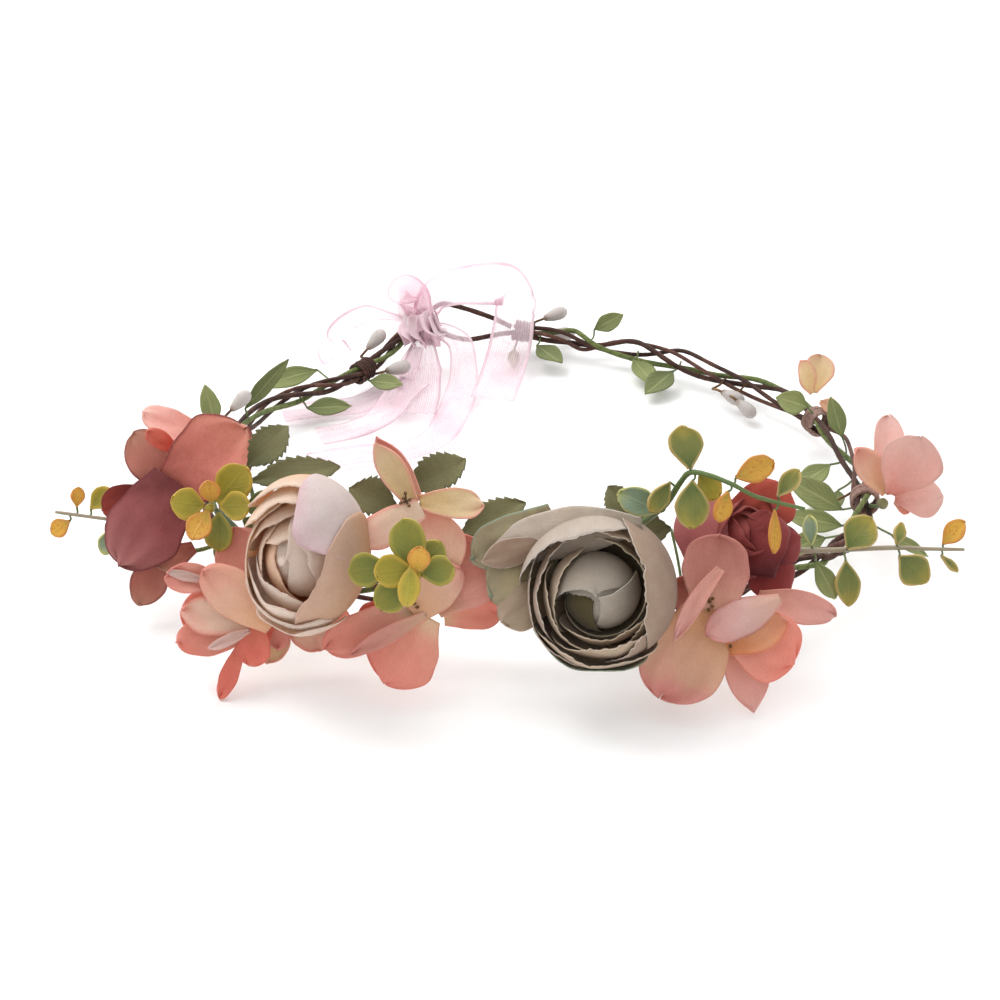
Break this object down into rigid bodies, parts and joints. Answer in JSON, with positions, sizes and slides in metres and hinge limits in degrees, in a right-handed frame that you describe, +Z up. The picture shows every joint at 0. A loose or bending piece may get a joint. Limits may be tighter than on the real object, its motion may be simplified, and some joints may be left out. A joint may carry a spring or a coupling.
{
  "type": "flower crown",
  "caption": "Open wire ring headband carrying cloth flowers and plastic sprigs at the front and tied at the back with a sheer ribbon bow.",
  "frame": {"origin": "middle of the bounding box at table level, with the crown lying flat as on a table", "axes": "+Z up through the head opening, -Y towards the flowers at the wearer's brow, +Y towards the ribbon tie, +X to the viewer's right when the flowers are looked at"},
  "size_m": [0.2522, 0.221, 0.0721],
  "materials": {
    "paper_wire": "dark brown paper wrapped round twisted florist wire",
    "coil_wire": "thin brown paper-covered binding wire",
    "tape": "brownish pink crinkled floral paper tape",
    "garland_green": "matt green flocked plastic garland stem and leaves",
    "pip_white": "matt white berry pips with brown stalk ends",
    "boxwood_green": "moulded soft plastic, green in the middle to yellow at the rim with orange leaves",
    "sprig_green": "moulded soft plastic sprig, green to yellow with orange leaves",
    "stem_green": "moulded green plastic stem",
    "dark_leaf": "dark olive serrated cloth leaf with veins",
    "blush_cloth": "blush pink printed cloth petals, paler in the middle",
    "dusty_cloth": "terracotta and mauve cloth petals with thin burgundy edges",
    "mauve_cloth": "mauve cloth petals",
    "pink_cloth": "pink cloth petals running to cream",
    "coral_cloth": "coral cloth petals",
    "cream_cloth": "cream cloth petals with fine frayed edges",
    "peach_cream": "yellow cream cloth petals with coral rims",
    "taupe_cloth": "taupe cloth petals with ragged cream edges",
    "sage_cloth": "taupe to sage green cloth petals with ragged edges",
    "rose_cloth": "orange red to mauve cloth petals",
    "burgundy_cloth": "burgundy cloth heart of the rose",
    "apricot_cloth": "cream cloth petals with radial lines and pink edges",
    "rosy_cloth": "dusty pink cloth petals",
    "organza": "pale pink sheer organza ribbon with denser satin edges",
    "knot_pink": "the same ribbon drawn tight into a stronger pink knot",
    "brown_fibre": "brown stamen threads",
    "calyx_green": "moulded green calyx"
  },
  "bodies": {
    "flower_side": {"vine_wire_1": "paper_wire", "vine_wire_2": "paper_wire", "vine_wire_3": "paper_wire", "garland_stem_front": "garland_green", "garland_leaves_left": "garland_green", "left_binding_coil": "coil_wire", "left_pips": "pip_white", "left_end_hook": "paper_wire", "ribbon_knot": "knot_pink", "bow_loop": "organza", "left_bow_loop": "organza", "ribbon_fan": "organza", "tie_band": "organza", "long_ribbon_tail": "organza", "left_ribbon_tail": "organza", "middle_ribbon_tail": "organza", "dusty_floret_petals": "dusty_cloth", "drooping_floret_petals": "mauve_cloth", "blush_back_petals": "blush_cloth", "left_sprig_stem": "stem_green", "left_sprig_leaves": "sprig_green", "left_boxwood_stem": "stem_green", "left_boxwood_leaves": "boxwood_green", "pink_floret_petals": "pink_cloth", "buttercream_floret_petals": "peach_cream", "cream_ranunculus_core": "cream_cloth", "cream_ranunculus_inner_petals": "cream_cloth", "cream_ranunculus_outer_petals": "cream_cloth", "peach_floret_petals": "peach_cream", "coral_floret_petals": "coral_cloth", "centre_boxwood_stem": "stem_green", "centre_boxwood_leaves": "boxwood_green", "serrated_leaves": "dark_leaf", "taupe_ranunculus_core": "taupe_cloth", "taupe_ranunculus_inner_petals": "taupe_cloth", "taupe_ranunculus_outer_petals": "sage_cloth", "arching_sprig_stem": "stem_green", "arching_sprig_leaves": "sprig_green", "burgundy_rose_core": "burgundy_cloth", "burgundy_rose_petals": "rose_cloth", "right_floret_petals": "rosy_cloth", "apricot_floret_petals": "apricot_cloth", "long_sprig_stem": "stem_green", "long_sprig_leaves": "sprig_green", "stamens": "brown_fibre", "flower_stems": "stem_green"},
    "right_arm": {"arm_wire_1": "paper_wire", "arm_wire_2": "paper_wire", "arm_wire_3": "paper_wire", "garland_stem_arm": "garland_green", "garland_leaves_arm": "garland_green", "right_binding_coil": "coil_wire", "right_end_loop": "paper_wire", "back_pips": "pip_white", "arm_pips": "pip_white", "arm_tape_wrap": "tape", "blush_side_petals": "blush_cloth", "blush_side_calyx": "calyx_green", "cream_bud_petals": "peach_cream", "hanging_ribbon_end": "organza"}
  },
  "joints": [
    {"name": "arm_flex", "type": "hinge", "parent": "flower_side", "child": "right_arm", "pos_m": [0.089, -0.0425, 0.017], "axis": [0, 0, -1], "range_deg": [0, 12]}
  ]
}
